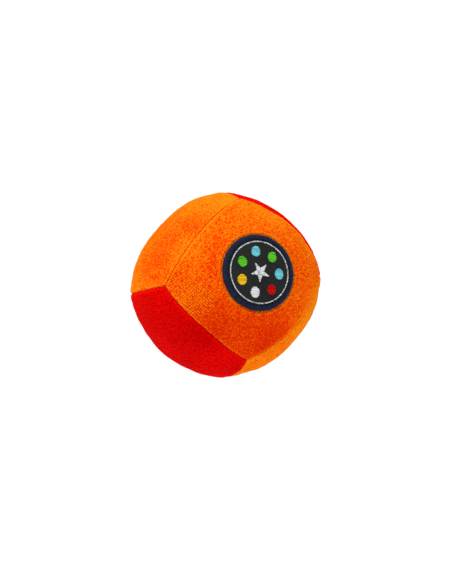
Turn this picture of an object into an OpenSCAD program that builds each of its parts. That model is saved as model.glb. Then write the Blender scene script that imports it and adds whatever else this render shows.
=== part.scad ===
// Six-panel stuffed juggling ball with a round embroidered badge.
// Millimetres, +Z up. The origin is the middle of the flat spot the ball rests on.
// The badge panel faces up, the two red panels face +Y and -Y.

/* [Ball] */
// Height of each panel's crown above the centre of the ball
crown_h = 36.5; // [30:0.5:50]
// Radius of each panel's own curve, larger is squarer
panel_r = 45.3; // [42:0.1:60]
// Thickness of the plush, backing and pile together
plush_t = 2.0; // [1.2:0.1:3]
// Depth of the flat spot under the ball
flat_sag = 1.2; // [0.4:0.1:2]

/* [Seams] */
// Gap between two panels at a seam
seam_gap = 0.6; // [0.5:0.05:1]
// Depth of the soft groove along a seam
groove = 0.9; // [0.3:0.1:1.5]
// Depth of the seam allowance turned inwards
allowance = 5; // [3:0.5:8]
// Thickness of one layer of turned allowance
allowance_t = 1.0; // [0.6:0.1:1.6]
// Diameter of the sewing thread
thread_d = 0.5; // [0.3:0.05:0.6]
// Half angle of the opening that is closed by hand
closing_half = 20; // [12:1:26]
// Rungs of the hand-sewn ladder stitch
closing_rungs = 11; // [5:2:17]

/* [Filling] */
// Outer radius of the inner pouch
pouch_r = 18; // [12:0.5:22]
// Thickness of the pouch cloth
pouch_t = 0.6; // [0.4:0.1:1]
// Width of the pouch's sewn rim
pouch_rim = 3; // [2:0.5:5]
// Diameter of one pellet
pellet_d = 5; // [3:0.1:6]
// Distance between neighbouring pellets
pellet_pitch = 5.3; // [3.2:0.1:6.4]
// Clearance around the filling
fit_gap = 0.1; // [0.05:0.05:0.5]

/* [Badge] */
// Outer radius of the badge
badge_r = 15.25; // [12:0.25:18]
// Width of the overlocked border
border_w = 2.4; // [1.6:0.1:3]
// Thickness of the stiff backing
backing_t = 0.5; // [0.3:0.1:1]
// Thickness of the twill
twill_t = 0.6; // [0.3:0.1:1]
// Height of the embroidery above the twill
motif_t = 0.4; // [0.2:0.1:0.8]
// Outer radius of the stitched ring
ring_r = 12.6; // [10:0.1:13]
// Width of the stitched ring
ring_w = 0.75; // [0.5:0.05:1.5]
// Outer radius of the star
star_r = 3.7; // [2:0.1:5]
// Distance of the coloured balls from the centre of the badge
orbit_r = 8.3; // [6:0.1:9]
// Radius of one coloured ball
dot_r = 2.05; // [1:0.05:2.5]
// How far the stiff badge presses in the middle of its panel
badge_flat = 1.2; // [0.4:0.1:1.8]

/* [Hidden] */
$fn = 96;
layer_gap = 0.02;
drop = panel_r - crown_h;
centre_z = crown_h - flat_sag;
big = 60;
orange = [1.0, 0.42, 0.03];
red = [0.85, 0.02, 0.01];
navy = [0.10, 0.13, 0.22];
charcoal = [0.13, 0.14, 0.14];
white = [0.88, 0.89, 0.88];
green = [0.33, 0.78, 0.10];
sky = [0.42, 0.80, 0.86];
yellow = [0.98, 0.80, 0.08];
// circle that a seam follows, seen in the plane between two panels
seam_back = drop * sqrt(0.5);
thread_depth = plush_t + 0.6;
function seam_radius(depth) = sqrt(pow(panel_r - depth, 2) - drop * drop / 2);
// distance from the ball's centre to a corner where three panels meet
corner_d = sqrt(pow(panel_r - thread_depth, 2) - drop * drop * 2 / 3) - drop * sqrt(1 / 3);
corner_c = corner_d * sqrt(1 / 3);
seam_half = atan2(corner_c, corner_c * sqrt(2) + seam_back) - 0.9;
flap_end_r = sqrt(pow(panel_r - plush_t - allowance, 2) - drop * drop / 2) - seam_back;
core_r = flap_end_r - 0.5;
// the flatter sphere that the badge and the plush under it follow
bed_rise = crown_h - badge_flat - sqrt(panel_r * panel_r - badge_r * badge_r) + drop;
bed_r = (badge_r * badge_r + bed_rise * bed_rise) / (2 * bed_rise);
bed_drop = bed_r - crown_h + badge_flat;
border_mid = badge_r - border_w / 2;
border_z = sqrt(pow(bed_r + 0.35, 2) - border_mid * border_mid) - bed_drop;
twill_top = 2 * layer_gap + backing_t + twill_t;
tack_d = 0.2;
tack_r = ring_r + 0.17;
tack_z = sqrt(pow(bed_r + twill_top + layer_gap + tack_d / 2, 2) - tack_r * tack_r) - bed_drop;
pellet_limit = pouch_r - pouch_t - pellet_d / 2 - fit_gap;

// Helpers. All of them work around the ball's centre.

// everything that lies nearer to +Z than to any other panel
module wedge(inset) {
  intersection() {
    rotate([0, -45, 0])
      translate([inset, -big, inset])
        cube([big, 2 * big, big]);
    rotate([0, 0, 90])
      rotate([0, -45, 0])
        translate([inset, -big, inset])
          cube([big, 2 * big, big]);
  }
}

// the sphere that the panel on +Z follows
module cap_ball(radius) {
  translate([0, 0, -drop])
    sphere(r = radius);
}

// the flatter sphere under the badge
module bed_ball(height, sides = 96) {
  translate([0, 0, -bed_drop])
    sphere(r = bed_r + height, $fn = sides);
}

// a ring of V-shaped section that softens the edge towards +X
module edge_groove() {
  rotate([0, -45, 0])
    translate([-seam_back, 0, 0])
      rotate_extrude()
        translate([seam_radius(0) + seam_gap / 2, 0])
          rotate([0, 0, 45])
            square(groove * sqrt(2), center = true);
}

module four_edge_grooves() {
  for (k = [0 : 3])
    rotate([0, 0, 90 * k])
      edge_groove();
}

// everything below a height, used to flatten the panel that the ball rests on
module below(height) {
  translate([-big, -big, height - 2 * big])
    cube(2 * big);
}

// what limits a crown: the badge's bed, or the plane at top_h
module crown_limit(top_h, inset, bed) {
  if (bed)
    bed_ball(-inset);
  else
    below(top_h - inset);
}

// one plush panel on +Z with its allowances turned in, cut flat at top_h or by the badge
module panel(top_h, bed = false) {
  difference() {
    intersection() {
      wedge(seam_gap / 2);
      cap_ball(panel_r);
      crown_limit(top_h, 0, bed);
    }
    intersection() {
      wedge(seam_gap / 2 + allowance_t);
      cap_ball(panel_r - plush_t);
      crown_limit(top_h, plush_t, bed);
    }
    cap_ball(panel_r - plush_t - allowance);
    four_edge_grooves();
  }
}

// a run of thread between +Z and +X, from one angle to another along the seam
module seam_run(from, to) {
  rotate([0, -45, 0])
    translate([-seam_back, 0, 0])
      rotate([0, 0, from])
        rotate_extrude(angle = to - from)
          translate([seam_radius(thread_depth), 0])
            circle(d = thread_d);
}

module centred() {
  translate([0, 0, centre_z])
    children();
}

module badge_seam(turn) {
  centred()
    rotate([0, 0, turn])
      seam_run(-seam_half, seam_half);
}

module side_seam(turn) {
  centred()
    rotate([0, 0, turn])
      rotate([-90, 0, 0])
        seam_run(-seam_half, seam_half);
}

module base_seam(turn) {
  centred()
    rotate([0, 0, turn])
      mirror([0, 0, 1])
        seam_run(-seam_half, seam_half);
}

// one layer of the badge between two heights above the plush
module badge_layer(low, high) {
  centred()
    intersection() {
      children();
      difference() {
        bed_ball(high);
        bed_ball(low);
      }
    }
}

module motif() {
  badge_layer(twill_top + layer_gap, twill_top + layer_gap + motif_t)
    children();
}

function star_point(i, outer, inner) =
  let (r = i % 2 == 0 ? outer : inner, a = 90 + i * 36)
    [r * cos(a), r * sin(a)];

// coloured balls of the badge, numbered clockwise from its top
module dot(i) {
  motif()
    rotate([0, 0, -i * 360 / 7])
      translate([0, orbit_r, 0])
        cylinder(r = dot_r, h = big);
}

module pouch_half() {
  difference() {
    union() {
      intersection() {
        sphere(r = pouch_r);
        translate([0, 0, seam_gap / 2])
          cylinder(r = pouch_r, h = pouch_r);
      }
      translate([0, 0, seam_gap / 2])
        cylinder(r = pouch_r + pouch_rim, h = pouch_t);
    }
    sphere(r = pouch_r - pouch_t);
  }
}

// The six plush panels.

module panel_badge() {
  color(orange)
    centred()
      panel(big, bed = true);
}

module panel_base() {
  color(orange)
    centred()
      rotate([180, 0, 0])
        panel(crown_h - flat_sag);
}

module panel_orange_right() {
  color(orange)
    centred()
      rotate([0, 90, 0])
        panel(big);
}

module panel_orange_left() {
  color(orange)
    centred()
      rotate([0, -90, 0])
        panel(big);
}

module panel_red_rear() {
  color(red)
    centred()
      rotate([-90, 0, 0])
        panel(big);
}

module panel_red_front() {
  color(red)
    centred()
      rotate([90, 0, 0])
        panel(big);
}

// The thread of each seam.

module seam_badge_right() {
  color(orange)
    badge_seam(0);
}

module seam_badge_rear() {
  color(orange)
    badge_seam(90);
}

module seam_badge_left() {
  color(orange)
    badge_seam(180);
}

module seam_badge_front() {
  color(orange)
    badge_seam(270);
}

module seam_side_right_rear() {
  color(orange)
    side_seam(0);
}

module seam_side_left_rear() {
  color(orange)
    side_seam(90);
}

module seam_side_left_front() {
  color(orange)
    side_seam(180);
}

module seam_side_right_front() {
  color(orange)
    side_seam(270);
}

module seam_base_right() {
  color(orange)
    base_seam(0);
}

// only the two ends are machine sewn, the middle is closed by hand after filling
module seam_base_rear() {
  color(orange)
    centred()
      rotate([0, 0, 90])
        mirror([0, 0, 1]) {
          seam_run(-seam_half, -closing_half - 0.6);
          seam_run(closing_half + 0.6, seam_half);
        }
}

module seam_base_left() {
  color(orange)
    base_seam(180);
}

module seam_base_front() {
  color(orange)
    base_seam(270);
}

// ladder stitch: a run along the gap with short rungs that cross it near the surface
module closing_stitch() {
  color(orange)
    centred()
      rotate([0, 0, 90])
        mirror([0, 0, 1]) {
          seam_run(-closing_half, closing_half);
          for (i = [0 : closing_rungs - 1])
            closing_rung(-closing_half + (i + 0.5) * 2 * closing_half / closing_rungs);
        }
}

// a rung stands up from the run of thread, inside the gap
module closing_rung(angle) {
  rotate([0, -45, 0])
    translate([-seam_back, 0, 0])
      rotate([0, 0, angle])
        translate([seam_radius(thread_depth), 0, 0])
          rotate([0, 90, 0])
            cylinder(d = thread_d * 0.9, h = thread_depth - groove + 0.2);
}

// What the ball holds inside.

module fill_lobe(top_h, bed = false) {
  intersection() {
    wedge(seam_gap / 2 + allowance_t + fit_gap);
    cap_ball(panel_r - plush_t - fit_gap);
    crown_limit(top_h, plush_t + fit_gap, bed);
  }
}

module fibre_fill() {
  color(white)
    centred()
      difference() {
        union() {
          fill_lobe(big, bed = true);
          rotate([180, 0, 0])
            fill_lobe(crown_h - flat_sag);
          for (k = [0 : 3])
            rotate([0, 0, 90 * k])
              rotate([0, 90, 0])
                fill_lobe(big);
          sphere(r = core_r);
        }
        sphere(r = pouch_r + fit_gap);
        cylinder(r = pouch_r + pouch_rim + fit_gap, h = seam_gap + 2 * pouch_t + 2 * fit_gap, center = true);
      }
}

module pouch_upper() {
  color(white)
    centred()
      pouch_half();
}

module pouch_lower() {
  color(white)
    centred()
      mirror([0, 0, 1])
        pouch_half();
}

module pouch_seam() {
  color(white)
    centred()
      rotate_extrude()
        translate([pouch_r + pouch_rim * 0.4, 0])
          circle(d = thread_d);
}

// pellets in a close packing, as many as the pouch holds
module pellets() {
  reach = ceil(pellet_limit / pellet_pitch * sqrt(2));
  step = pellet_pitch * sqrt(0.5);
  color(sky)
    centred()
      for (i = [-reach : reach])
        for (j = [-reach : reach])
          for (k = [-reach : reach])
            if ((i + j + k) % 2 == 0 && norm([i, j, k]) * step < pellet_limit)
              translate([i * step, j * step, k * step])
                sphere(d = pellet_d, $fn = 24);
}

// The badge.

module badge_backing() {
  color(charcoal)
    badge_layer(layer_gap, layer_gap + backing_t)
      cylinder(r = border_mid, h = big);
}

module badge_twill() {
  color(charcoal)
    badge_layer(2 * layer_gap + backing_t, twill_top)
      cylinder(r = border_mid, h = big);
}

// the overlocked edge wraps round the backing and the twill
module badge_border() {
  color(navy)
    centred()
      difference() {
        translate([0, 0, border_z])
          rotate_extrude($fn = 240)
            translate([border_mid, 0])
              circle(d = border_w, $fn = 48);
        bed_ball(layer_gap, 360);
        intersection() {
          cylinder(r = border_mid + layer_gap, h = big, $fn = 240);
          bed_ball(twill_top + layer_gap, 360);
        }
      }
}

// the thread that holds the badge to the plush, in the ditch inside the border
module badge_tack_stitch() {
  color(navy)
    centred()
      translate([0, 0, tack_z])
        rotate_extrude()
          translate([tack_r, 0])
            circle(d = tack_d);
}

module badge_ring() {
  color(white)
    motif()
      difference() {
        cylinder(r = ring_r, h = big);
        translate([0, 0, -1])
          cylinder(r = ring_r - ring_w, h = big + 2);
      }
}

module badge_star() {
  color(white)
    motif()
      linear_extrude(height = big)
        polygon([for (i = [0 : 9]) star_point(i, star_r, star_r * 0.45)]);
}

module badge_balls_green() {
  color(green) {
    dot(0);
    dot(5);
  }
}

module badge_balls_sky() {
  color(sky) {
    dot(1);
    dot(6);
  }
}

module badge_ball_red() {
  color(red)
    dot(2);
}

module badge_ball_white() {
  color(white)
    dot(3);
}

module badge_ball_yellow() {
  color(yellow)
    dot(4);
}

panel_badge();
panel_base();
panel_orange_right();
panel_orange_left();
panel_red_rear();
panel_red_front();
seam_badge_right();
seam_badge_rear();
seam_badge_left();
seam_badge_front();
seam_side_right_rear();
seam_side_left_rear();
seam_side_left_front();
seam_side_right_front();
seam_base_right();
seam_base_rear();
seam_base_left();
seam_base_front();
closing_stitch();
fibre_fill();
pouch_upper();
pouch_lower();
pouch_seam();
pellets();
badge_backing();
badge_twill();
badge_border();
badge_tack_stitch();
badge_ring();
badge_star();
badge_balls_green();
badge_balls_sky();
badge_ball_red();
badge_ball_white();
badge_ball_yellow();
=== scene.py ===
import math
import bpy
import numpy as np
from mathutils import Matrix, Vector


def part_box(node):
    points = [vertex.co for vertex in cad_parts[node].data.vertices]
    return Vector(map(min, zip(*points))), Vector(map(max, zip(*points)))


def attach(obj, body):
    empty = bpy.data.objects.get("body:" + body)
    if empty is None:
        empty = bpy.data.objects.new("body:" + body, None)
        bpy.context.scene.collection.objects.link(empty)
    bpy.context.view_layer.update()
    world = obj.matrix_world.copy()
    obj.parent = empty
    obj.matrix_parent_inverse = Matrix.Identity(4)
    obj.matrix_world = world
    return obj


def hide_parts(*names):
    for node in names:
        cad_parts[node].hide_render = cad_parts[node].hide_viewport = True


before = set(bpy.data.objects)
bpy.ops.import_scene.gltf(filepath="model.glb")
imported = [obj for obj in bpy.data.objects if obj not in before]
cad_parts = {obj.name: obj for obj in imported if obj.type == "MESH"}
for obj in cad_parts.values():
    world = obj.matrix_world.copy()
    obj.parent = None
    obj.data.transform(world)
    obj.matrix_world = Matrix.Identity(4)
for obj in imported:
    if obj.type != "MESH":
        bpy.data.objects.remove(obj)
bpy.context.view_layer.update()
scene = bpy.context.scene
MM = 0.001

# ---------------------------------------------------------------- sizes, from the frame
side_low, side_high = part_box("panel_orange_right")
HALF = side_high[0]                                # crown height of a panel
CENTRE = np.array([0.0, 0.0, (side_low[2] + side_high[2]) / 2])
PANEL_R = 45.3 * MM                                # each panel's own radius
DROP = PANEL_R - HALF
BADGE_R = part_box("badge_border")[1][0]
BED_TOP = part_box("panel_badge")[1][2] - CENTRE[2]  # the badge presses its panel flatter
BED_RISE = BED_TOP - math.sqrt(PANEL_R**2 - BADGE_R**2) + DROP
BED_R = (BADGE_R**2 + BED_RISE**2) / (2 * BED_RISE)
TWILL_TOP = 1.14 * MM                              # twill above the plush
RING_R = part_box("badge_ring")[1][0]
BORDER_W = 2.4 * MM
BORDER_MID = BADGE_R - BORDER_W / 2

# panels: node, local x, local y, outward normal, direction that the pile leans
PANELS = {
    "panel_badge": ((1, 0, 0), (0, 1, 0), (0, 0, 1), (0.5, -0.9)),
    "panel_base": ((1, 0, 0), (0, -1, 0), (0, 0, -1), (0.2, -1.0)),
    "panel_orange_right": ((0, 1, 0), (0, 0, 1), (1, 0, 0), (0.1, -1.0)),
    "panel_orange_left": ((0, -1, 0), (0, 0, 1), (-1, 0, 0), (-0.3, -1.0)),
    "panel_red_rear": ((-1, 0, 0), (0, 0, 1), (0, 1, 0), (0.3, -1.0)),
    "panel_red_front": ((1, 0, 0), (0, 0, 1), (0, -1, 0), (-0.4, -1.0)),
}


# ---------------------------------------------------------------- noise in numpy
def hashed(cell, seed):
    c = cell.astype(np.int64).astype(np.uint32)
    h = c[..., 0] * np.uint32(374761393) + c[..., 1] * np.uint32(668265263)
    h = h + c[..., 2] * np.uint32(2147483629) + np.uint32(seed * 974711 % 4294967291)
    h = (h ^ (h >> np.uint32(13))) * np.uint32(1274126177)
    h = (h ^ (h >> np.uint32(15))) * np.uint32(2246822519)
    return (h ^ (h >> np.uint32(16))).astype(np.float64) / 4294967296.0


def noise(p, size, seed=0):
    """Smooth value noise from -1 to 1, with features of the given size."""
    q = p / size + 500.0
    cell = np.floor(q)
    f = q - cell
    f = f * f * f * (f * (f * 6 - 15) + 10)
    out = 0.0
    for dx in (0, 1):
        for dy in (0, 1):
            for dz in (0, 1):
                w = (f[..., 0] if dx else 1 - f[..., 0])
                w = w * (f[..., 1] if dy else 1 - f[..., 1])
                w = w * (f[..., 2] if dz else 1 - f[..., 2])
                out = out + w * hashed(cell + np.array([dx, dy, dz]), seed)
    return out * 2 - 1


def tufts(p, size, seed=0):
    """Rounded bumps, one per cell: 1 at a tuft's tip, 0 in the gaps."""
    q = p / size + 500.0
    cell = np.floor(q)
    best = np.full(p.shape[:-1], 9.0)
    for dx in (-1, 0, 1):
        for dy in (-1, 0, 1):
            for dz in (-1, 0, 1):
                c = cell + np.array([dx, dy, dz])
                point = np.stack([hashed(c, seed + k) for k in (1, 2, 3)], axis=-1) + c
                best = np.minimum(best, ((q - point) ** 2).sum(-1))
    return np.clip(1 - best, 0, 1)


def random(*key):
    return float(hashed(np.array([[(key + (0, 0, 0))[i] for i in range(3)]], float), 99)[0])


# ---------------------------------------------------------------- the stuffed form
def unit(v):
    return v / np.linalg.norm(v, axis=-1, keepdims=True)


# Where this hand-filled ball is out of true: the way to a corner, a seam or the middle of
# a panel, and how far the cloth there is pushed, in mm.
PULLS = (
    ((-1, -1, 1), (-0.5, -3.0, -1.5)),             # the badge panel's two front corners sag forwards
    ((1, -1, 1), (-0.5, -2.0, -1.0)),
    ((0, -1, 1), (0.0, -1.5, -0.5)),               # and so does the seam between them
    ((-1, -1, 0), (0.5, -1.0, -0.5)),
    ((-1, -1, -1), (0.0, 1.0, 0.5)),
    ((0, 1, 1), (1.0, 1.5, 0.5)),                  # the badge panel's rear seam stands proud
    ((0, 1, 0), (0.5, -2.0, -0.5)),                # the rear, left and right panels are slack
    ((-1, 0, 0), (1.0, 0.0, 0.0)),
    ((1, 0, 0), (-0.5, 0.0, -0.5)),
    ((0, -1, -1), (0.5, 0.5, 0.5)),                # the front and base panels' seam is drawn in
    ((1, 0, 1), (1.0, 0.0, 0.0)),
    ((1, -1, 0), (-1.0, 1.0, 0.0)),                # and so is the seam of the front and right panels
    ((-1, 1, 1), (-0.5, 0.5, 0.0)),                # the two rear corners poke out
    ((1, 1, 1), (0.0, 0.5, 0.5)),
)
PULL_REACH = 0.35                                  # how wide a push is, on a ball of radius 1


def pulled(d):
    """How far the pushes move the cloth that lies in the directions d."""
    out = np.zeros(d.shape)
    for towards, by in PULLS:
        near = ((d - unit(np.array(towards, float))) ** 2).sum(-1)
        out += np.exp(-near / (2 * PULL_REACH**2))[..., None] * np.array(by) * MM
    return out


def direction(panel, u, v):
    """Unit vectors to the points u, v of a panel, where both run from -1 to 1 between its seams."""
    ex, ey, n = (np.array(a, float) for a in PANELS[panel][:3])
    a, b = np.tan(u * math.pi / 4)[..., None], np.tan(v * math.pi / 4)[..., None]
    return unit(a * ex + b * ey + n)


def plain_form(d):
    """The ball as it is cut: six equal caps that meet at the seams."""
    c = np.abs(d).max(-1)
    r = np.sqrt(PANEL_R ** 2 - DROP ** 2 * (1 - c * c)) - c * DROP
    return d * r[..., None]


GRID = 16                                          # steps along a panel's side in the sewn form
ticks = np.linspace(-1, 1, GRID + 1)


def spline_rows(t):
    """Catmull-Rom weights of the coarse grid's points at each t."""
    x = (np.clip(t, -1, 1) + 1) / 2 * GRID
    k = np.clip(np.floor(x).astype(int), 0, GRID - 1)
    f = x - k
    w = np.stack([-f + 2 * f**2 - f**3, 2 - 5 * f**2 + 3 * f**3,
                  f + 4 * f**2 - 3 * f**3, -f**2 + f**3], axis=-1) / 2
    rows = np.zeros((t.size, GRID + 1))
    n = np.arange(t.size)
    for j, off in enumerate((-1, 0, 1, 2)):
        i = k + off
        lo, hi = i < 0, i > GRID
        mid = ~(lo | hi)
        np.add.at(rows, (n[mid], i[mid]), w[mid, j])
        for bad, a, b in ((lo, 0, 1), (hi, GRID, GRID - 1)):
            np.add.at(rows, (n[bad], np.full(bad.sum(), a)), 2 * w[bad, j])
            np.add.at(rows, (n[bad], np.full(bad.sum(), b)), -w[bad, j])
    return rows


# ---------------------------------------------------------------- grids of vertex numbers
def quads(grid):
    """The faces of a grid."""
    corners = [grid[:-1, :-1], grid[1:, :-1], grid[1:, 1:], grid[:-1, 1:]]
    return np.stack(corners, -1).reshape(-1, 4).tolist()


def band(a, b):
    """The faces between two closed loops."""
    return np.stack([a, b, np.roll(b, -1), np.roll(a, -1)], -1).tolist()


def rim(n):
    """Numbers along the edge of an n by n grid, in order, anticlockwise from its first corner."""
    i = np.arange(n - 1)
    return np.concatenate([i * n, (n - 1) * n + i, (n - 1 - i) * n + n - 1, (n - 1 - i)])


def weld(p, near, points, index):
    """The numbers of a grid of points, where points that fall together share one."""
    grid = np.zeros(p.shape[:2], int)
    for i, j in np.ndindex(grid.shape):
        key = tuple(np.round(p[i, j] / near).astype(int))
        if key not in index:
            index[key] = len(points)
            points.append(p[i, j])
        grid[i, j] = index[key]
    return grid


# ---------------------------------------------------------------- stuffing by Cloth
FORM_SCALE = 10.0                                  # the sewn form is blown up at ten times its size
FORM_START = 0.985                                 # from a little smaller than the ball
FORM_FRAMES = 20
FORM_CAP = 1.0 * MM                                # the most that any point of it may move


def sewn_form():
    """The six panels as one closed form: its points, its faces and each panel's vertex numbers."""
    u, v = np.meshgrid(ticks, ticks, indexing="ij")
    points, index, faces, ids = [], {}, [], {}
    for name in PANELS:
        p = plain_form(direction(name, u, v)) * FORM_SCALE * FORM_START
        ids[name] = weld(p, 1e-4, points, index)
        faces += quads(ids[name])
    return np.array(points), faces, ids


def stuff():
    """Blow the sewn form up with Cloth and return how far each of its points moved."""
    start, faces, ids = sewn_form()
    mesh = bpy.data.meshes.new("stuffing_form")
    mesh.from_pydata(start.tolist(), [], faces)
    ob = bpy.data.objects.new("stuffing_form", mesh)
    scene.collection.objects.link(ob)
    seams = {int(k) for grid in ids.values() for k in grid.ravel()[rim(GRID + 1)]}
    group = ob.vertex_groups.new(name="seam")
    group.add(sorted(seams), 1.0, "REPLACE")
    cloth = ob.modifiers.new("Cloth", "CLOTH")
    s = cloth.settings
    s.quality = 6
    s.mass = 0.05
    s.tension_stiffness = 12
    s.compression_stiffness = 12
    s.shear_stiffness = 6
    s.bending_stiffness = 0.4
    s.use_pressure = True
    s.uniform_pressure_force = 4
    s.vertex_group_shrink = "seam"
    s.shrink_min = 0.0
    s.shrink_max = 0.05
    s.effector_weights.gravity = 0
    cloth.collision_settings.use_collision = False
    cloth.point_cache.frame_start = 1
    cloth.point_cache.frame_end = FORM_FRAMES
    for frame_number in range(1, FORM_FRAMES + 1):
        scene.frame_set(frame_number)
    shape = ob.evaluated_get(bpy.context.evaluated_depsgraph_get()).to_mesh()
    end = np.empty(start.size)
    shape.vertices.foreach_get("co", end)
    moved = (end.reshape(-1, 3) - start / FORM_START) / FORM_SCALE
    moved -= moved.mean(0)
    far = np.linalg.norm(moved, axis=1, keepdims=True)
    print("stuffing moved the cloth by up to", far.max() * 1000, "mm, mean", far.mean() * 1000)
    moved *= np.minimum(1, FORM_CAP / np.maximum(far, 1e-9))
    bpy.data.objects.remove(ob)
    bpy.data.meshes.remove(mesh)
    scene.frame_set(1)
    return {name: moved[ids[name]] for name in PANELS}


puffed = stuff()


def form(panel, u, v, depth=0.0):
    """Points of the stuffed form at depth below its skin, for arrays u and v of one shape."""
    d = direction(panel, u, v)
    p = plain_form(d)
    push = np.einsum("ni,nj,ijk->nk", spline_rows(u.ravel()), spline_rows(v.ravel()), puffed[panel])
    push = push.reshape(p.shape)
    # the filling is a little lumpy
    lumps = noise(p, 17 * MM, 5) * 0.45 * MM + noise(p, 8 * MM, 6) * 0.18 * MM
    push = push + d * lumps[..., None] + pulled(d)
    # the stiff badge keeps the cloth under it in its place
    rho = np.hypot(p[..., 0], p[..., 1])
    under_badge = (p[..., 2] > 0) * np.clip(1 - (rho - 15 * MM) / (6 * MM), 0, 1)
    p = p + push * (1 - under_badge)[..., None]
    if panel == "panel_badge":
        rho = np.hypot(p[..., 0], p[..., 1])
        bed = BED_TOP - BED_R + np.sqrt(BED_R**2 - np.minimum(rho, BED_R) ** 2)
        press = np.clip((BADGE_R + 2.0 * MM - rho) / (1.6 * MM), 0, 1)
        p[..., 2] += (np.minimum(p[..., 2], bed) - p[..., 2]) * press
    return p - d * np.asarray(depth)[..., None]


# ---------------------------------------------------------------- mesh helpers
def make_mesh(name, verts, faces, **attributes):
    """A smooth mesh object, with a value or a vector per point for its material to read."""
    mesh = bpy.data.meshes.new(name)
    mesh.from_pydata(verts.tolist(), [], faces)
    for key, values in attributes.items():
        values = np.asarray(values, dtype=np.float32)
        kind, field = ("FLOAT", "value") if values.ndim == 1 else ("FLOAT_VECTOR", "vector")
        mesh.attributes.new(key, kind, "POINT").data.foreach_set(field, values.ravel())
    mesh.polygons.foreach_set("use_smooth", np.ones(len(mesh.polygons), bool))
    mesh.update()
    ob = bpy.data.objects.new(name, mesh)
    scene.collection.objects.link(ob)
    return ob


def put(ob, material, slot, *nodes):
    """Give a piece its material and its place in the frame."""
    ob.data.materials.clear()
    ob.data.materials.append(material)
    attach(ob, "root")
    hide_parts(*nodes)
    return ob


class Threads:
    """Collects runs of thread into one mesh, each run closed at its ends."""

    def __init__(self, sides=8):
        self.v, self.f, self.tone, self.count, self.sides = [], [], [], 0, sides

    def add(self, path, up, wide, high, tone=0.5, taper=0.25):
        path = np.asarray(path, float)
        n, k = len(path), self.sides
        along = unit(np.gradient(path, axis=0))
        side = unit(np.cross(along, up))
        top = np.cross(side, along)
        t = np.linspace(0, 1, n)
        edge = np.clip(np.minimum(t, 1 - t) / taper, 0, 1)
        grow = np.sqrt(1 - (1 - edge) ** 2) * 0.85 + 0.15
        a = np.arange(k) * 2 * math.pi / k
        ring = (side[:, None] * (np.cos(a) * wide / 2)[None, :, None]
                + top[:, None] * (np.sin(a) * high / 2)[None, :, None])
        ring = path[:, None] + ring * grow[:, None, None]
        pts = np.concatenate([ring.reshape(-1, 3), path[:1], path[-1:]])
        o = self.count
        for i in range(n - 1):
            for j in range(k):
                j2 = (j + 1) % k
                here, ahead = o + i * k, o + (i + 1) * k
                self.f.append([here + j, here + j2, ahead + j2, ahead + j])
        first, last = o + n * k, o + n * k + 1
        for j in range(k):
            j2 = (j + 1) % k
            self.f.append([first, o + j2, o + j])
            self.f.append([last, o + (n - 1) * k + j, o + (n - 1) * k + j2])
        self.v.append(pts)
        self.tone.append(np.full(len(pts), tone))
        self.count += len(pts)

    def build(self, name):
        return make_mesh(name, np.concatenate(self.v), self.f, tone=np.concatenate(self.tone))


# ---------------------------------------------------------------- materials
def nodes_of(name):
    m = bpy.data.materials.new(name)
    m.use_nodes = True
    return m, m.node_tree.nodes, m.node_tree.links, m.node_tree.nodes["Principled BSDF"]


def tex_noise(nodes, links, coord, scale, detail=2.0, rough=0.5, distort=0.0):
    n = nodes.new("ShaderNodeTexNoise")
    n.inputs["Scale"].default_value = scale
    n.inputs["Detail"].default_value = detail
    n.inputs["Roughness"].default_value = rough
    n.inputs["Distortion"].default_value = distort
    links.new(coord, n.inputs["Vector"])
    return n.outputs["Fac"]


def math_node(nodes, links, op, a, b, c=None):
    n = nodes.new("ShaderNodeMath")
    n.operation = op
    for i, x in enumerate((a, b) if c is None else (a, b, c)):
        if isinstance(x, (int, float)):
            n.inputs[i].default_value = x
        else:
            links.new(x, n.inputs[i])
    return n.outputs[0]


def ramp(nodes, links, fac, stops):
    n = nodes.new("ShaderNodeValToRGB")
    e = n.color_ramp.elements
    while len(e) < len(stops):
        e.new(0.5)
    for el, (pos, col) in zip(e, stops):
        el.position = pos
        el.color = (*col, 1)
    links.new(fac, n.inputs["Fac"])
    return n.outputs["Color"]


def bump(nodes, links, bsdf, height, distance, strength):
    n = nodes.new("ShaderNodeBump")
    n.inputs["Strength"].default_value = strength
    n.inputs["Distance"].default_value = distance
    links.new(height, n.inputs["Height"])
    links.new(n.outputs["Normal"], bsdf.inputs["Normal"])


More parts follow.
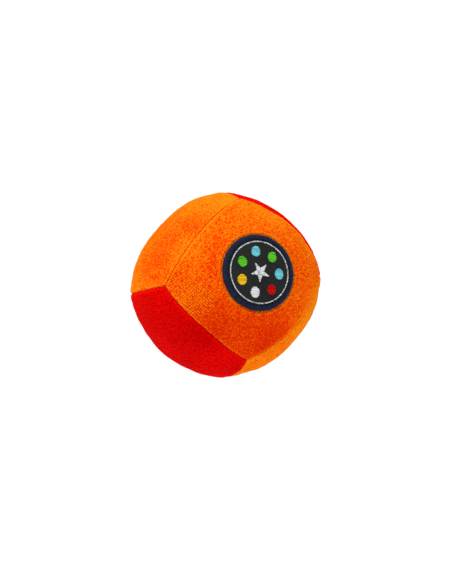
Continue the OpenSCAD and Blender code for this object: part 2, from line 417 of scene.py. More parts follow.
def plush(name, stops, tint, sheen):
    """Short pile: fibres along the nap, a tone from the mesh with its painted light and shade, and the
    knit's ribs where it is worn.
    """
    m, nodes, links, bsdf = nodes_of(name)
    coord = nodes.new("ShaderNodeTexCoord").outputs["Object"]
    nap, shade, ribs = (nodes.new("ShaderNodeAttribute") for _ in range(3))
    nap.attribute_name, shade.attribute_name, ribs.attribute_name = "nap", "shade", "ribs"
    fine = tex_noise(nodes, links, nap.outputs["Vector"], 4200, 2, 0.6)
    grain = tex_noise(nodes, links, nap.outputs["Vector"], 2100, 3, 0.65)
    by_fine, by_grain = 1.7, 0.8                   # how much each changes the tone
    tone = math_node(nodes, links, "MULTIPLY_ADD", fine, by_fine, shade.outputs["Fac"])
    tone = math_node(nodes, links, "MULTIPLY_ADD", grain, by_grain, tone)
    height = math_node(nodes, links, "MULTIPLY", fine, 0.4)
    height = math_node(nodes, links, "MULTIPLY_ADD", grain, 0.6, height)
    sep = nodes.new("ShaderNodeSeparateXYZ")
    links.new(coord, sep.inputs[0])
    wave = math_node(nodes, links, "MULTIPLY", sep.outputs["Y"], 2 * math.pi / RIB_PITCH)
    wave = math_node(nodes, links, "MULTIPLY_ADD", grain, 3.0, wave)
    wave = math_node(nodes, links, "SINE", wave, 0)
    rib = math_node(nodes, links, "MULTIPLY", wave, ribs.outputs["Fac"])
    tone = math_node(nodes, links, "MULTIPLY_ADD", rib, 0.22, tone)
    height = math_node(nodes, links, "MULTIPLY_ADD", rib, 0.25, height)
    tone = math_node(nodes, links, "ADD", tone, -(by_fine + by_grain) / 2)
    links.new(ramp(nodes, links, tone, stops), bsdf.inputs["Base Color"])
    rough = math_node(nodes, links, "MULTIPLY_ADD", grain, 0.2, 0.75)
    links.new(rough, bsdf.inputs["Roughness"])
    bump(nodes, links, bsdf, height, 0.3 * MM, 0.8)
    bsdf.inputs["Specular IOR Level"].default_value = 0.012
    bsdf.inputs["Sheen Weight"].default_value = sheen
    bsdf.inputs["Sheen Roughness"].default_value = 0.3
    bsdf.inputs["Sheen Tint"].default_value = (*tint, 1)
    return m


def thread_material(name, color, shine=0.25, vary=0.35):
    """Spun thread whose tone differs from stitch to stitch."""
    m, nodes, links, bsdf = nodes_of(name)
    coord = nodes.new("ShaderNodeTexCoord").outputs["Object"]
    fibre = tex_noise(nodes, links, coord, 5200, 2, 0.6)
    tone = nodes.new("ShaderNodeAttribute")
    tone.attribute_name = "tone"
    fac = math_node(nodes, links, "MULTIPLY", tone.outputs["Fac"], 0.6)
    fac = math_node(nodes, links, "MULTIPLY_ADD", fibre, 0.5, fac)
    c = np.array(color)
    stops = ((0.1, c * (1 - vary)), (0.55, c), (1.0, np.minimum(1, c * (1 + vary))))
    links.new(ramp(nodes, links, fac, stops), bsdf.inputs["Base Color"])
    rough = math_node(nodes, links, "MULTIPLY_ADD", fibre, 0.25, 0.42)
    links.new(rough, bsdf.inputs["Roughness"])
    bump(nodes, links, bsdf, fibre, 0.06 * MM, 0.5)
    bsdf.inputs["Specular IOR Level"].default_value = shine
    return m


def cloth_material(name, dark, light, scale, rough=0.9, ridged=False):
    """A mottled surface: cloth, felt, loose fibre or matt plastic. Ridged takes its tone, with its painted
    highlight and shade, from the mesh.
    """
    m, nodes, links, bsdf = nodes_of(name)
    coord = nodes.new("ShaderNodeTexCoord").outputs["Object"]
    grain = tex_noise(nodes, links, coord, scale, 3, 0.6)
    cloud = tex_noise(nodes, links, coord, scale / 30, 2, 0.5)
    fac = math_node(nodes, links, "MULTIPLY", grain, 0.6)
    fac = math_node(nodes, links, "MULTIPLY_ADD", cloud, 0.4, fac)
    if ridged:
        tone = nodes.new("ShaderNodeAttribute")
        tone.attribute_name = "tone"
        fac = math_node(nodes, links, "ADD", fac, -0.35)
        fac = math_node(nodes, links, "MULTIPLY_ADD", tone.outputs["Fac"], 0.6, fac)
    links.new(ramp(nodes, links, fac, ((0.3, dark), (0.7, light))), bsdf.inputs["Base Color"])
    roughness = math_node(nodes, links, "MULTIPLY_ADD", grain, 0.2, rough - 0.1)
    links.new(roughness, bsdf.inputs["Roughness"])
    bump(nodes, links, bsdf, grain, 0.15 * MM, 0.6)
    bsdf.inputs["Specular IOR Level"].default_value = 0.06
    return m


RIB_PITCH = 0.8 * MM                               # of the knit that shows through the pile
ORANGE = plush("plush_orange", (
    (0.0, (0.74, 0.018, 0.0)),
    (0.3, (0.90, 0.040, 0.0)),
    (0.5, (0.97, 0.075, 0.0002)),
    (0.7, (1.0, 0.145, 0.001)),
    (1.0, (1.0, 0.28, 0.005)),
), tint=(1.0, 0.50, 0.0), sheen=1.0)
RED = plush("plush_red", (
    (0.0, (0.44, 0.0, 0.0)),
    (0.3, (0.58, 0.0, 0.0)),
    (0.5, (0.69, 0.0, 0.0)),
    (0.7, (0.82, 0.0, 0.0)),
    (1.0, (1.0, 0.004, 0.002)),
), tint=(1.0, 0.0, 0.0), sheen=0.3)
THREAD = thread_material("sewing_thread", (0.85, 0.12, 0.004), 0.1)
NAVY = thread_material("border_thread", (0.009, 0.014, 0.034), 0.08, 0.6)
WHITE = thread_material("embroidery_white", (0.72, 0.74, 0.74), 0.25, 0.6)
GREEN = thread_material("embroidery_green", (0.10, 0.56, 0.012), 0.2, 0.5)
SKY = thread_material("embroidery_sky", (0.15, 0.60, 0.70), 0.2, 0.5)
RUBY = thread_material("embroidery_red", (0.50, 0.0, 0.0), 0.1, 0.5)
YELLOW = thread_material("embroidery_yellow", (0.93, 0.52, 0.006), 0.2, 0.5)
TWILL = cloth_material("badge_twill_cloth", (0.006, 0.007, 0.007), (0.032, 0.034, 0.033), 3000, 0.8,
                       ridged=True)
FELT = cloth_material("badge_backing_felt", (0.008, 0.008, 0.009), (0.02, 0.02, 0.022), 2500)
FIBRE = cloth_material("stuffing_fibre", (0.70, 0.70, 0.68), (0.93, 0.93, 0.92), 900)
POUCH = cloth_material("pouch_cloth", (0.55, 0.52, 0.45), (0.78, 0.75, 0.68), 1800)
POUCH_THREAD = thread_material("pouch_thread", (0.80, 0.80, 0.78))
PELLET = cloth_material("pellet_plastic", (0.55, 0.66, 0.72), (0.72, 0.80, 0.84), 400, 0.4)

# ---------------------------------------------------------------- plush panels
SPACING = 0.25 * MM                                # between the points of the pile
ARC = 58.6 * MM                                    # a panel from seam to seam, along its middle
EDGE_STEPS = np.array([0.025, 0.08, 0.16, 0.28, 0.45, 0.66, 0.9]) * MM  # the first points from a seam
FLAT = 8                                           # steps of the face per step of the inside
NAP_STRETCH = 3.0                                  # fibres are this much longer than they are wide
TUFT_STRETCH = 1.5                                 # and tufts this much
TURNED_IN = ((0.30, 2.2), (0.30, 6.4), (1.20, 6.4), (1.25, 2.4))  # allowance: from the seam, depth, mm


def rise(x, start, width):
    """From 0 at start to 1 at start + width."""
    return np.clip((x - start) / width, 0, 1)


def bell(x, middle, width):
    return np.exp(-((x - middle) / width) ** 2)


def fade(s, width):
    """From 1 at a seam to 0 far from it."""
    return np.exp(-s / width)


def panel_ticks():
    """Places of the grid lines from -1 to 1: even in the middle, closer at the seams."""
    inner = ARC / 2 - EDGE_STEPS[-1]
    n = int(round(2 * inner / SPACING))
    count = n + 2 * len(EDGE_STEPS) - 1
    n += (-(count - 1)) % FLAT
    middle = np.linspace(-inner, inner, n + 1)
    side = ARC / 2 - EDGE_STEPS[:-1]
    return np.concatenate([-side, middle, side[::-1]]) / (ARC / 2)


def seam_roll(s, width, deep):
    """How far the cloth has rolled in towards a seam at s from it."""
    k = np.clip(s / width, 0, 1)
    return deep * (1 - np.sqrt(np.clip(1 - (1 - k) ** 2, 0, 1)))


def to_seam(p):
    """For each point: how far the nearest seam is, on which side, and the seam's point there."""
    count = len(p)
    step_u = np.linalg.norm(np.diff(p, axis=0), axis=-1)
    step_v = np.linalg.norm(np.diff(p, axis=1), axis=-1)
    run_u = np.concatenate([np.zeros((1, count)), np.cumsum(step_u, 0)], 0)
    run_v = np.concatenate([np.zeros((count, 1)), np.cumsum(step_v, 1)], 1)
    runs = np.stack([run_u, run_u[-1:] - run_u, run_v, run_v[:, -1:] - run_v], -1) + EDGE_STEPS[0]
    side = runs.argmin(-1)
    at_u = np.where(side == 0, 0, np.where(side == 1, count - 1, np.arange(count)[:, None]))
    at_v = np.where(side == 2, 0, np.where(side == 3, count - 1, np.arange(count)[None, :]))
    return runs.min(-1), side, p[at_u, at_v]


def pile_at(name, p):
    """Places measured along the nap, the clumps of fibres there, and finer tufts between them."""
    ex, ey, n, nap = (np.array(a, float) for a in PANELS[name])
    lean = unit(nap[0] * ex + nap[1] * ey)
    cross = np.cross(n, lean)
    q = np.stack([p @ lean / NAP_STRETCH, p @ cross, p @ n], -1)
    q = q + 0.35 * MM * np.stack([noise(p, 4 * MM, seed) for seed in (31, 32, 33)], -1)
    shorter = (p @ lean) * (1 / TUFT_STRETCH - 1 / NAP_STRETCH)
    tuft_at = q + shorter[..., None] * np.array([1.0, 0, 0])
    return q, tufts(tuft_at, 0.52 * MM, 40), tufts(tuft_at, 0.34 * MM, 50)


def brushing_and_painted_light(name, p, q):
    """How much lighter, or below 0 darker, the pile is where a hand has brushed it, with painted light and
    shade added on three panels.
    """
    x, y, z = p[..., 0], p[..., 1], p[..., 2]
    tone = 0.14 * noise(p, 13 * MM, 71) + 0.07 * noise(q, 6 * MM, 72) + 0.03 * noise(q, 2.2 * MM, 73)
    # painted shade towards the front right, painted light towards the rear left, painted highlights along
    # the right edge and round the badge
    if name == "panel_badge":
        tone = tone - 0.36 * rise(x - y, 12 * MM, 26 * MM)
        tone = tone + 0.20 * rise(y - x, 5 * MM, 25 * MM)
        tone = tone + 0.30 * rise(x, 22 * MM, 5 * MM) * rise(y, -20 * MM, 20 * MM)
        tone = tone + 0.25 * bell(np.hypot(x, y) - BADGE_R, 0.5 * MM, 0.6 * MM)
    # painted light: the left panel a little lighter all over, and more towards its upper rear
    if name == "panel_orange_left":
        tone = tone + 0.06 + 0.34 * rise(y, 0, 20 * MM) * rise(z, -8 * MM, 20 * MM)
    # painted highlight: the right panel lighter towards its top
    if name == "panel_orange_right":
        tone = tone + 0.28 * rise(z, 2 * MM, 14 * MM)
    return tone


def face_of(name, u, v):
    """The outside of a panel, the shade of its pile, how ribbed it is, and its places along the nap."""
    which = list(PANELS).index(name)
    p = form(name, u, v)
    du, dv = np.gradient(p, axis=0), np.gradient(p, axis=1)
    s, side, on_seam = to_seam(p)
    q, clump, fine = pile_at(name, p)

    # how far the cloth stands off the form: puckers run across the seam, and its edge rolls in
    pucker = noise(on_seam, 4.6 * MM, 21) * 0.20 * MM + noise(on_seam, 2.4 * MM, 22) * 0.10 * MM
    pucker *= fade(s, 4.0 * MM) * rise(s, 0, 0.8 * MM)
    pile = (clump * 0.24 + fine * 0.13 + noise(q, 1.6 * MM, 60) * 0.07) * MM
    roll = seam_roll(s, 1.0 * MM, 0.62 * MM)
    raised = 0.16 * MM * bell(s, 1.9 * MM, 0.9 * MM)
    frayed = noise(p, 0.7 * MM, 80 + which) * 0.12 * MM * fade(s, 0.5 * MM)
    lift = frayed + pile * np.maximum(rise(s, 0, 0.6 * MM), 0.6) + pucker - roll + raised - 0.18 * MM
    ribs = np.zeros(s.shape)
    if name == "panel_badge":
        # the pile lies flat under the badge and stands up against its border
        rho = np.hypot(p[..., 0], p[..., 1])
        under = 1 - rise(rho - BADGE_R, 0.30 * MM, 0.25 * MM)
        crowd = (0.10 + 0.50 * clump) * MM * bell(rho - BADGE_R, 0.8 * MM, 0.5 * MM)
        lift = (lift + crowd) * (1 - under) - 0.06 * MM * under
        ribs = rise(-p[..., 1], 13 * MM, 8 * MM) * rise(-p[..., 0], -6 * MM, 14 * MM)

    # painted highlight on the tips of the tufts and on the lips of the seams, painted shade in the gaps
    # between the tufts and down in the seams
    tips = clump**2 * 0.6 + fine**2 * 0.4
    shade = 0.5 + brushing_and_painted_light(name, p, q) + 1.25 * (tips - 0.50)
    shade = shade + 0.26 * bell(s, 0.6 * MM, 0.7 * MM) - 0.40 * fade(s, 0.3 * MM)

    # the cut edge wanders a little, so that the seam is not one straight line
    wander = 0.12 * MM * np.maximum(noise(on_seam, 0.9 * MM, 90 + which), 0) * fade(s, 0.3 * MM)
    inward = np.where((side < 2)[..., None], unit(du), unit(dv))
    inward = inward * np.where(side % 2 == 0, 1, -1)[..., None]
    by_seam = 1 - rise(s, 0, 1.6 * MM)[..., None]
    away = unit(unit(np.cross(du, dv)) * (1 - by_seam) + unit(p) * by_seam)
    out = p + away * lift[..., None] + inward * wander[..., None] + CENTRE
    if name == "panel_base":
        out[..., 2] = np.maximum(out[..., 2], 0)
    return out, shade, ribs, q


def shell_of(name, u, v, face):
    """Close the outside with the seam allowance, turned in, and a coarser inside."""
    count = len(face)
    total = count * count
    verts = [face.reshape(-1, 3)]
    faces = quads(np.arange(total).reshape(count, count))
    edge = rim(count)
    loop = edge
    for inset, depth in TURNED_IN:
        lim = 1 - inset * MM / (ARC / 2)
        eu = np.clip(u.ravel()[edge], -lim, lim)
        ev = np.clip(v.ravel()[edge], -lim, lim)
        verts.append(form(name, eu, ev, np.full(len(edge), depth * MM)) + CENTRE)
        deeper = total + np.arange(len(edge))
        faces += band(loop, deeper)
        loop = deeper
        total += len(edge)
    coarse = (count - 1) // FLAT + 1
    lim = 1 - 2.0 * MM / (ARC / 2)
    t = np.linspace(-lim, lim, coarse)
    uc, vc = np.meshgrid(t, t, indexing="ij")
    inside = form(name, uc, vc, np.full(uc.shape, 1.9 * MM)) + CENTRE
    if name == "panel_base":
        inside[..., 2] = np.maximum(inside[..., 2], 1.5 * MM)
    verts.append(inside.reshape(-1, 3))
    faces += quads(total + np.arange(coarse * coarse).reshape(coarse, coarse).T)
    small = total + rim(coarse)
    half = FLAT // 2
    for k, (here, ahead) in enumerate(zip(small.tolist(), np.roll(small, -1).tolist())):
        fan = [int(loop[(k * FLAT + j) % len(loop)]) for j in range(FLAT + 1)]
        faces += [[fan[j], here, fan[j + 1]] for j in range(half)]
        faces.append([fan[half], here, ahead])
        faces += [[fan[j], ahead, fan[j + 1]] for j in range(half, FLAT)]
    return np.concatenate(verts), faces


def build_panel(name, material, slot):
    t = panel_ticks()
    u, v = np.meshgrid(t, t, indexing="ij")
    face, shade, ribs, q = face_of(name, u, v)
    verts, faces = shell_of(name, u, v, face)
    hidden = verts[shade.size:]
    ob = make_mesh(name + "_plush", verts, faces,
                   shade=np.concatenate([shade.ravel(), np.full(len(hidden), 0.45)]),
                   ribs=np.concatenate([ribs.ravel(), np.zeros(len(hidden))]),
                   nap=np.concatenate([q.reshape(-1, 3), hidden / 2]))
    put(ob, material, slot, name)


for name in PANELS:
    red = name.startswith("panel_red")
    build_panel(name, RED if red else ORANGE, "plush_red" if red else "plush_orange")

# ---------------------------------------------------------------- seam threads
# node: panel on one side, and the edge of its grid that the seam follows
SEAMS = {
    "seam_badge_right": ("panel_badge", "u", 1),
    "seam_badge_left": ("panel_badge", "u", -1),
    "seam_badge_rear": ("panel_badge", "v", 1),
    "seam_badge_front": ("panel_badge", "v", -1),
    "seam_base_right": ("panel_base", "u", 1),
    "seam_base_left": ("panel_base", "u", -1),
    "seam_base_front": ("panel_base", "v", 1),
    "seam_base_rear": ("panel_base", "v", -1),
    "seam_side_right_rear": ("panel_orange_right", "u", 1),
    "seam_side_right_front": ("panel_orange_right", "u", -1),
    "seam_side_left_rear": ("panel_orange_left", "u", -1),
    "seam_side_left_front": ("panel_orange_left", "u", 1),
}
SEAM_HALF = 24 * MM                                # from a seam's middle to its end
STITCH = 2.4 * MM
SEAM_THREAD = 0.44 * MM
SEAM_DEPTH = 2.55 * MM                             # the thread lies under the turned edges
SEAM_END = 0.95                                    # share of a seam that is sewn by machine
CLOSING = 0.62                                     # share of the last seam that is closed by hand


def seam_points(panel, axis, end, t, depth):
    edge = np.full(t.shape, float(end))
    u, v = (edge, t) if axis == "u" else (t, edge)
    return form(panel, u, v, depth) + CENTRE


def lock_stitches(threads, place, start, stop):
    """A run of stitches, each dipping where the thread goes through the cloth."""
    stitches = max(2, int(round(abs(stop - start) * SEAM_HALF / STITCH)))
    edges = np.linspace(start, stop, stitches + 1)
    for k in range(stitches):
        t = np.linspace(edges[k], edges[k + 1], 9)
        dip = 0.22 * MM * (1 - np.sin(np.linspace(0, math.pi, 9)))
        pts = seam_points(*place, t, SEAM_DEPTH + dip)
        tone = 0.35 + 0.3 * ((k * 7) % 5) / 4
        threads.add(pts, unit(pts - CENTRE), SEAM_THREAD, SEAM_THREAD, tone, 0.15)


for node, place in SEAMS.items():
    threads = Threads()
    if node == "seam_base_rear":
        lock_stitches(threads, place, -SEAM_END, -CLOSING - 0.03)
        lock_stitches(threads, place, CLOSING + 0.03, SEAM_END)
    else:
        lock_stitches(threads, place, -SEAM_END, SEAM_END)
    put(threads.build(node + "_thread"), THREAD, "sewing_thread", node)


def closing_stitch():
    """Ladder stitch: rungs cross the groove, and the thread runs on inside each fold."""
    threads = Threads()
    rungs = 11
    ts = np.linspace(-CLOSING, CLOSING, rungs)
    ts[1:-1] += [0.03 * (random(k, 50) - 0.5) for k in range(rungs - 2)]
    route = []
    for k, t in enumerate(ts):
        turn = 1 if k % 2 == 0 else -1
        reach = (1.05 + 0.4 * random(k, 51)) * MM
        for share, depth in ((1, 0.8), (0.8, 0.26), (0.3, 0.2), (-0.3, 0.2), (-0.8, 0.26), (-1, 0.8)):
            route.append((t + 0.008 * share, turn * share * reach, depth * MM))
        if k < rungs - 1:
            route.append(((t + ts[k + 1]) / 2, -turn * 0.9 * MM, 1.5 * MM))
    pts = []
    for t, across, depth in route:
        inset = 1 - max(abs(across), 0.01 * MM) / (ARC / 2)
        if across > 0:
            pts.append(form("panel_base", np.array([t]), np.array([-inset]), np.array([depth]))[0])
        else:
            pts.append(form("panel_red_rear", np.array([-t]), np.array([-inset]), np.array([depth]))[0])
    pts = np.array(pts) + CENTRE
    k = np.arange(len(pts))
    fine = np.linspace(0, len(pts) - 1, (len(pts) - 1) * 5 + 1)
    path = np.stack([np.interp(fine, k, pts[:, c]) for c in range(3)], -1)
    for _ in range(2):
        path[1:-1] = (path[:-2] + 2 * path[1:-1] + path[2:]) / 4
    threads.add(path, unit(path - CENTRE), 0.46 * MM, 0.46 * MM, 0.7, 0.02)
    return threads.build("closing_stitch_thread")


put(closing_stitch(), THREAD, "sewing_thread", "closing_stitch")

# ---------------------------------------------------------------- badge
BED = CENTRE + np.array([0, 0, BED_TOP - BED_R])


def on_badge(x, y, h):
    """A point at height h above the plush, over x, y of the badge."""
    r = BED_R + h
    return np.stack([x, y, BED[2] + np.sqrt(r * r - x * x - y * y)], -1)


def disc_grid(count, radius):
    """A square grid of points spread evenly over a disc."""
    t = np.linspace(-1, 1, count)
    a, b = np.meshgrid(t, t, indexing="ij")
    wide = np.abs(a) >= np.abs(b)
    r = np.where(wide, a, b)
    with np.errstate(divide="ignore", invalid="ignore"):
        b_of_a = np.where(a == 0, 0, b / np.where(a == 0, 1, a))
        a_of_b = np.where(b == 0, 0, a / np.where(b == 0, 1, b))
    phi = np.where(wide, (math.pi / 4) * b_of_a, math.pi / 2 - (math.pi / 4) * a_of_b)
    return r * radius * np.cos(phi), r * radius * np.sin(phi)


TWILL_PITCH = 0.44 * MM                            # of its slanting ridges
YARN = 0.5 * MM                                    # of the yarns along a ridge
UNDER_TWILL = 0.56 * MM                            # underside of the twill above the plush
UNDER_RINGS = (1.0, 0.8, 0.6, 0.4, 0.2)            # its rings, as shares of the twill's radius


def build_twill():
    count = 221
    x, y = disc_grid(count, BORDER_MID - 0.15 * MM)
    along, across = (y - x) * math.sqrt(0.5), (x + y) * math.sqrt(0.5)
    row = np.floor(across / TWILL_PITCH)
    ridge = np.abs(np.sin(across / TWILL_PITCH * math.pi)) ** 0.7
    yarn = np.abs(np.sin((along / YARN + row * 0.37) * math.pi)) ** 0.5
    cloth = noise(np.stack([x, y, 0 * x], -1), 4 * MM, 70) * 0.05 * MM
    top = on_badge(x, y, TWILL_TOP - 0.09 * MM + (ridge * 0.055 + yarn * ridge * 0.03) * MM + cloth)
    edge = rim(count)
    # painted highlight on the crests of the ridges and yarns, painted shade between them
    lit = (ridge * (0.6 + 0.4 * yarn)).ravel()
    tone = np.concatenate([lit, np.zeros(len(UNDER_RINGS) * len(edge) + 1)])
    n = count * count
    faces = quads(np.arange(n).reshape(count, count))
    points, outer = [top.reshape(-1, 3)], edge
    for k, share in enumerate(UNDER_RINGS):
        points.append(on_badge(x.ravel()[edge] * share, y.ravel()[edge] * share, UNDER_TWILL))
        inner = n + k * len(edge) + np.arange(len(edge))
        faces += band(outer, inner)
        outer = inner
    middle = np.full(len(edge), n + len(UNDER_RINGS) * len(edge))
    faces += np.stack([outer, middle, np.roll(outer, -1)], -1).tolist()
    points.append(on_badge(np.zeros(1), np.zeros(1), UNDER_TWILL))
    return make_mesh("badge_twill_cloth", np.concatenate(points), faces, tone=tone)


def height_at(r, h):
    """The z of a point at height h above the plush, r from the badge's middle."""
    return BED[2] + np.sqrt((BED_R + h) ** 2 - r * r)


def build_border():
    """Overlock thread wrapped round the edge of the twill and the backing."""
    wraps, per, sides = 200, 7, 24
    n = wraps * per
    phi = np.arange(n) * 2 * math.pi / n
    theta = np.arange(sides) * 2 * math.pi / sides
    P, T = np.meshgrid(phi, theta, indexing="ij")
    wrap = P * wraps / (2 * math.pi) + 0.45 * np.sin(T)
    which = np.floor(wrap) % wraps
    loose = hashed(np.stack([which, which * 0, which * 0], -1), 80) - 0.5
    stray = hashed(np.stack([which, which * 0 + 1, which * 0], -1), 81) ** 6
    bulge = np.abs(np.sin(wrap * math.pi)) ** 0.6
    size = 0.88 + 0.12 * bulge + 0.10 * loose + 0.12 * stray
    # inwards it stops short of the stitch that tacks the badge on
    width = size * np.where(np.cos(T) < 0, 0.80, 1)
    r = BORDER_MID + BORDER_W / 2 * np.cos(T) * width + 0.10 * MM * loose
    z = height_at(r, 0.50 * MM) + 0.88 * MM * np.sin(T) * size
    on_twill = r < BORDER_MID + 0.15 * MM
    floor_z = height_at(r, np.where(on_twill, TWILL_TOP + 0.06 * MM, 0.02 * MM))
    pts = np.stack([r * np.cos(P), r * np.sin(P), np.maximum(z, floor_z)], -1)
    grid = np.arange(n * sides).reshape(n, sides)
    ahead = np.roll(grid, -1, 0)
    faces = np.stack([grid, ahead, np.roll(ahead, -1, 1), np.roll(grid, -1, 1)], -1).reshape(-1, 4).tolist()
    # painted highlight on the crown of each wrap, painted shade between wraps, and a tone that differs at
    # random from wrap to wrap
    tone = bulge * 0.5 + loose * 0.8 + 0.3
    return make_mesh("badge_border_thread", pts.reshape(-1, 3), faces, tone=tone.ravel())


def stitch(threads, a, b, width, rise, tone):
    """One satin stitch from a to b on the twill, arched over it."""
    t = np.linspace(0, 1, 9)
    x = a[0] + (b[0] - a[0]) * t
    y = a[1] + (b[1] - a[1]) * t
    h = TWILL_TOP - 0.12 * MM + (rise + 0.08 * MM) * np.sin(t * math.pi) ** 0.45
    pts = on_badge(x, y, h)
    threads.add(pts, unit(pts - BED), width, width * 0.9, tone, 0.12)


SATIN = 0.42 * MM                                  # width of a satin stitch
BALLS = 7
BALLS_R = 8.3 * MM                                 # of the circle that they stand on
BALL_R = 2.1 * MM


def polar(r, angle):
    return np.array([math.cos(angle), math.sin(angle)]) * r


def dot(threads, k, seed):
    """A satin-stitched ball of the badge."""
    centre = polar(BALLS_R, math.radians(90 - k * 360 / BALLS))
    lay = math.radians(20 + 60 * random(k, 3))
    pitch = 0.38 * MM
    rows = int(2 * BALL_R / pitch)
    for i in range(rows):
        off = (i - (rows - 1) / 2) * pitch
        half = math.sqrt(max(BALL_R**2 - off**2, (0.5 * MM) ** 2))
        tilt = lay + 0.10 * (random(i, k, seed) - 0.5)
        d = polar(1, tilt)
        e = np.array([-math.sin(lay), math.cos(lay)])
        a = centre + e * off - d * half * (0.92 + 0.14 * random(i, k, seed + 1))
        b = centre + e * off + d * half * (0.92 + 0.14 * random(i, k, seed + 2))
        stitch(threads, a, b, SATIN, (0.26 + 0.10 * random(i, k, 5)) * MM, random(i, k, 7))


def star(threads):
    """Five arms, each filled with stitches that cross it."""
    outer, inner = 3.9 * MM, 1.75 * MM
    for arm in range(5):
        mid = math.radians(90 + arm * 72)
        tip = polar(outer, mid)
        p = polar(inner, mid + math.radians(36))
        q = polar(inner, mid - math.radians(36))
        rows = 10
        for i in range(rows):
            t = (i + 0.5) / rows
            if t < 0.62:
                f = t / 0.62
                a, b = tip + (p - tip) * f, tip + (q - tip) * f
            else:
                f = (t - 0.62) / 0.38
                a, b = p * (1 - f), q * (1 - f)
            reach = 1 + 0.12 * (random(i, arm, 4) - 0.3)
            middle, half = (a + b) / 2, (a - b) / 2 * reach
            a, b = middle + half, middle - half
            if np.linalg.norm(a - b) < 0.5 * MM:
                a = a + (a - b) * 0.4
            stitch(threads, a, b, SATIN, (0.26 + 0.09 * random(i, arm, 8)) * MM, random(i, arm, 9))


def ring(threads):
    """A narrow rope of slanting stitches just inside the border, each over the next one's start."""
    count = 156
    for i in range(count):
        a0 = 2 * math.pi * i / count
        a1 = a0 + 2 * math.pi * 1.5 / count
        stray = 0.12 * MM * (random(i, 11) - 0.5)
        a = polar(RING_R - 0.50 * MM + stray, a0)
        b = polar(RING_R - 0.12 * MM + stray, a1)
        width = (0.20 + 0.16 * random(i, 14)) * MM
        stitch(threads, a, b, width, (0.10 + 0.16 * random(i, 12)) * MM, 1.3 * random(i, 13) - 0.3)


def tack(threads):
    """Running stitches between the ring and the border, which hold the badge on."""
    count = 34
    r = RING_R + 0.17 * MM
    for i in range(count):
        a0, a1 = (2 * math.pi * (i + o) / count for o in (0.06, 0.94))
        t = np.linspace(a0, a1, 9)
        arch = 0.08 * MM * np.sin(np.linspace(0, math.pi, 9))
        pts = on_badge(r * np.cos(t), r * np.sin(t), TWILL_TOP + arch)
        threads.add(pts, unit(pts - BED), 0.22 * MM, 0.22 * MM, 0.5, 0.15)


twill = put(build_twill(), TWILL, "badge_twill_cloth", "badge_twill")
put(build_border(), NAVY, "border_thread", "badge_border")
for node, make, material, slot in (
    ("badge_ring", ring, WHITE, "embroidery_white"),
    ("badge_star", star, WHITE, "embroidery_white"),
    ("badge_tack_stitch", tack, NAVY, "border_thread"),
):
    threads = Threads()
    make(threads)
    put(threads.build(node + "_thread"), material, slot, node)
for node, balls, material, slot in (
    ("badge_balls_green", (0, 5), GREEN, "embroidery_green"),
    ("badge_balls_sky", (1, 6), SKY, "embroidery_sky"),
    ("badge_ball_red", (2,), RUBY, "embroidery_red"),
    ("badge_ball_white", (3,), WHITE, "embroidery_white"),
    ("badge_ball_yellow", (4,), YELLOW, "embroidery_yellow"),
):
    threads = Threads()
    for k in balls:
        dot(threads, k, k + 20)
    put(threads.build(node + "_thread"), material, slot, node)


# ---------------------------------------------------------------- filling
def smooth(t):
    t = np.clip(t, 0, 1)
    return t * t * (3 - 2 * t)


def build_filling():
    """Fluffed fibre that fills the panels, with a hollow for the pouch and room for the allowances."""
    near_edge = np.array([0.0, 1.0, 1.7, 2.1, 2.5, 2.9, 3.4]) * MM / (ARC / 2)
    t = np.concatenate([-1 + near_edge, np.linspace(-1 + 0.145, 1 - 0.145, 61), 1 - near_edge[::-1]])
    u, v = np.meshgrid(t, t, indexing="ij")
    s = (1 - np.maximum(np.abs(u), np.abs(v))) * ARC / 2
    points, faces, index = [], [], {}
    for name in PANELS:
        skin = form(name, u, v)
        curls = tufts(skin + 0.9 * MM * noise(skin, 3 * MM, 90)[..., None], 2.6 * MM, 91)
        loft = 0.55 * MM * (1 - curls) + 0.25 * MM * (1 + noise(skin, 1.1 * MM, 94)) / 2
        round_allowance = 5.0 * MM * (1 - smooth((s - 1.7 * MM) / (0.9 * MM)))
        depth = 2.15 * MM + round_allowance + loft * np.clip(s / MM, 0, 1)
        inner = form(name, u, v, depth) + CENTRE
        inner[..., 2] = np.maximum(inner[..., 2], 2.15 * MM)
        faces += quads(weld(inner, 5e-6, points, index))
    # the hollow, turned about the upright axis, with a slot for the pouch's rim
    pouch_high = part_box("pouch_upper")[1]
    hollow = pouch_high[2] - CENTRE[2] + 0.12 * MM
    slot_r, slot_h = pouch_high[0] + 0.12 * MM, 1.0 * MM
    a = np.linspace(math.pi / 2, math.asin(slot_h / hollow), 26)[1:]
    r = np.concatenate([hollow * np.cos(a), [slot_r, slot_r], hollow * np.cos(a[::-1])])
    z = np.concatenate([hollow * np.sin(a), [slot_h, -slot_h], -hollow * np.sin(a[::-1])])
    sides = 72
    turns = np.arange(sides) * 2 * math.pi / sides
    x, y = r[:, None] * np.cos(turns), r[:, None] * np.sin(turns)
    rings = np.stack([x, y, z[:, None] + 0 * turns], -1) + CENTRE
    first = len(points)
    g = first + np.arange(len(r) * sides).reshape(-1, sides)
    top, bottom = first + g.size, first + g.size + 1
    right = np.roll(g, -1, 1)
    faces += np.stack([g[:-1], right[:-1], right[1:], g[1:]], -1).reshape(-1, 4).tolist()
    faces += [[top, int(b), int(c)] for b, c in zip(right[0], g[0])]
    faces += [[bottom, int(b), int(c)] for b, c in zip(g[-1], right[-1])]
    poles = CENTRE + [[0, 0, hollow], [0, 0, -hollow]]
    points = np.concatenate([np.array(points), rings.reshape(-1, 3), poles])
    return make_mesh("fibre_fill_stuffing", points, faces)


filling = put(build_filling(), FIBRE, "stuffing_fibre", "fibre_fill")

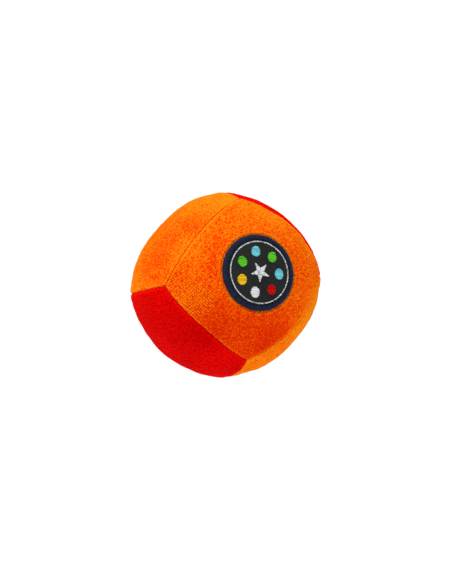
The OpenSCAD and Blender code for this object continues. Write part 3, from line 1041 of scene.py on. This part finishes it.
# ---------------------------------------------------------------- pieces that stay as in the CAD model
for node, material in (
    ("badge_backing", FELT),
    ("pouch_upper", POUCH),
    ("pouch_lower", POUCH),
    ("pouch_seam", POUCH_THREAD),
    ("pellets", PELLET),
):
    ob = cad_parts[node]
    ob.data.materials.clear()
    ob.data.materials.append(material)

# ---------------------------------------------------------------- camera, floor, light
azimuth, elevation, roll = (math.radians(a) for a in (-27.2, 64.6, 69.0))
toward = Vector((math.cos(elevation) * math.sin(azimuth), -math.cos(elevation) * math.cos(azimuth),
                 math.sin(elevation)))
level = Vector((0, 0, 1)).cross(toward).normalized()
right = level * math.cos(roll) + toward.cross(level) * math.sin(roll)
up = toward.cross(right)
distance = 0.90
lens = 136.9
aim = right * 1.2 * MM - up * 2.2 * MM             # the ball sits a little above the picture's middle
centre = Vector(CENTRE)
camera = bpy.data.objects.new("camera", bpy.data.cameras.new("camera"))
scene.collection.objects.link(camera)
camera.matrix_world = (Matrix.Translation(centre + aim + toward * distance)
                       @ Matrix((right, up, toward)).transposed().to_4x4())
camera.data.sensor_fit = "VERTICAL"
camera.data.sensor_height = 36
camera.data.lens = lens
camera.data.clip_start = 0.01
scene.camera = camera


def floor():
    """A plain pale floor just under the ball."""
    far = 3.0
    corners = [(-far, -far, 0), (far, -far, 0), (far, far, 0), (-far, far, 0)]
    mesh = bpy.data.meshes.new("floor")
    mesh.from_pydata(corners, [], [(0, 1, 2, 3)])
    ob = bpy.data.objects.new("floor", mesh)
    scene.collection.objects.link(ob)
    ob.location.z = -0.4 * MM
    m, _, _, bsdf = nodes_of("floor")
    bsdf.inputs["Base Color"].default_value = (0.24, 0.32, 0.32, 1)
    bsdf.inputs["Roughness"].default_value = 0.9
    bsdf.inputs["Specular IOR Level"].default_value = 0.1
    bsdf.inputs["Emission Color"].default_value = (1, 1, 1, 1)
    bsdf.inputs["Emission Strength"].default_value = 0.83
    ob.data.materials.append(m)


def light(name, where, size, power):
    """A round soft light at `where` from the ball's middle, which shines on it."""
    data = bpy.data.lights.new(name, "AREA")
    data.shape = "DISK"
    data.size = size
    data.energy = power
    ob = bpy.data.objects.new(name, data)
    scene.collection.objects.link(ob)
    # an area light shines down its own -Z axis, so its Z axis points away from the ball
    ob.matrix_world = Matrix.Translation(centre + where) @ where.to_track_quat("Z", "Y").to_matrix().to_4x4()


floor()
light("key", toward * 0.5 - right * 0.35 + up * 0.9, 0.7, 5.5)
light("side", Vector((0.95, -0.2, 0.1)), 0.8, 3.0)
world = bpy.data.worlds.new("studio")
world.use_nodes = True
tree = world.node_tree
backdrop = tree.nodes["Background"]
backdrop.inputs["Color"].default_value = (1, 1, 1, 1)
ray = tree.nodes.new("ShaderNodeLightPath")
strength = math_node(tree.nodes, tree.links, "MULTIPLY_ADD", ray.outputs["Is Camera Ray"], 0.3, 0.76)
tree.links.new(strength, backdrop.inputs["Strength"])
scene.world = world
scene.view_settings.view_transform = "Standard"
